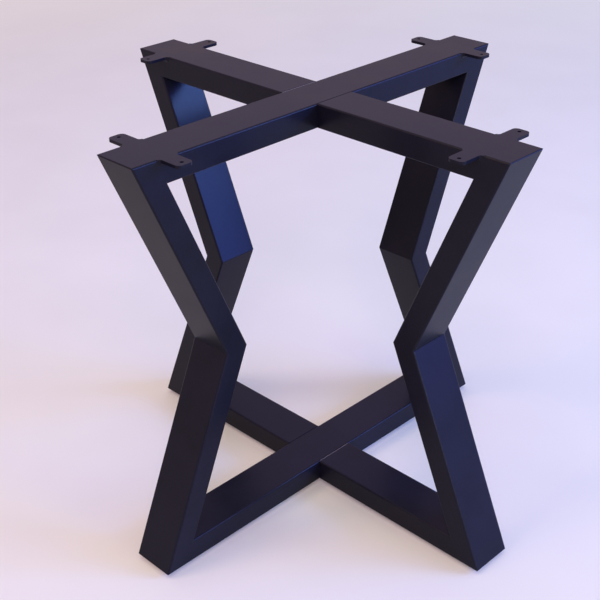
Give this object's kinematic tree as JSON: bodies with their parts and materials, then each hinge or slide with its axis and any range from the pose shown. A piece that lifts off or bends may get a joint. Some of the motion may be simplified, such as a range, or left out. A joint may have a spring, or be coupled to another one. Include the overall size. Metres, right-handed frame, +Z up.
{
  "type": "table base",
  "caption": "Black welded steel table base: hourglass frames of rectangular tube crossed at right angles, with screw tabs for a table top and low glides under the feet.",
  "frame": {"origin": "on the floor, under the middle of the base", "axes": "+Z up; +X along the frame whose bars are cut at the crossing; +Y along the frame whose bars run through"},
  "size_m": [0.7984, 0.7984, 0.728],
  "materials": {
    "powder_coated_steel": "fine-textured satin black powder coat",
    "glide_plastic": "matt black nylon",
    "screw_steel": "bright zinc plating"
  },
  "bodies": {
    "root": {"bottom_joint_weld_left_lower": "powder_coated_steel", "bottom_joint_weld_left_upper": "powder_coated_steel", "bottom_joint_weld_right_lower": "powder_coated_steel", "bottom_joint_weld_right_upper": "powder_coated_steel", "butted_bottom_bar_left": "powder_coated_steel", "butted_bottom_bar_right": "powder_coated_steel", "butted_lower_leg_left": "powder_coated_steel", "butted_lower_leg_right": "powder_coated_steel", "butted_top_bar_left": "powder_coated_steel", "butted_top_bar_right": "powder_coated_steel", "butted_upper_leg_left": "powder_coated_steel", "butted_upper_leg_right": "powder_coated_steel", "glide_back": "glide_plastic", "glide_front": "glide_plastic", "glide_left": "glide_plastic", "glide_right": "glide_plastic", "glide_screw_back": "screw_steel", "glide_screw_front": "screw_steel", "glide_screw_left": "screw_steel", "glide_screw_right": "screw_steel", "tab_back_left": "powder_coated_steel", "tab_back_right": "powder_coated_steel", "tab_front_left": "powder_coated_steel", "tab_front_right": "powder_coated_steel", "tab_left_back": "powder_coated_steel", "tab_left_front": "powder_coated_steel", "tab_right_back": "powder_coated_steel", "tab_right_front": "powder_coated_steel", "tab_weld_back_left": "powder_coated_steel", "tab_weld_back_right": "powder_coated_steel", "tab_weld_front_left": "powder_coated_steel", "tab_weld_front_right": "powder_coated_steel", "tab_weld_left_back": "powder_coated_steel", "tab_weld_left_front": "powder_coated_steel", "tab_weld_right_back": "powder_coated_steel", "tab_weld_right_front": "powder_coated_steel", "through_bottom_bar": "powder_coated_steel", "through_lower_leg_back": "powder_coated_steel", "through_lower_leg_front": "powder_coated_steel", "through_top_bar": "powder_coated_steel", "through_upper_leg_back": "powder_coated_steel", "through_upper_leg_front": "powder_coated_steel", "top_joint_weld_left_lower": "powder_coated_steel", "top_joint_weld_left_upper": "powder_coated_steel", "top_joint_weld_right_lower": "powder_coated_steel", "top_joint_weld_right_upper": "powder_coated_steel"}
  },
  "joints": []
}
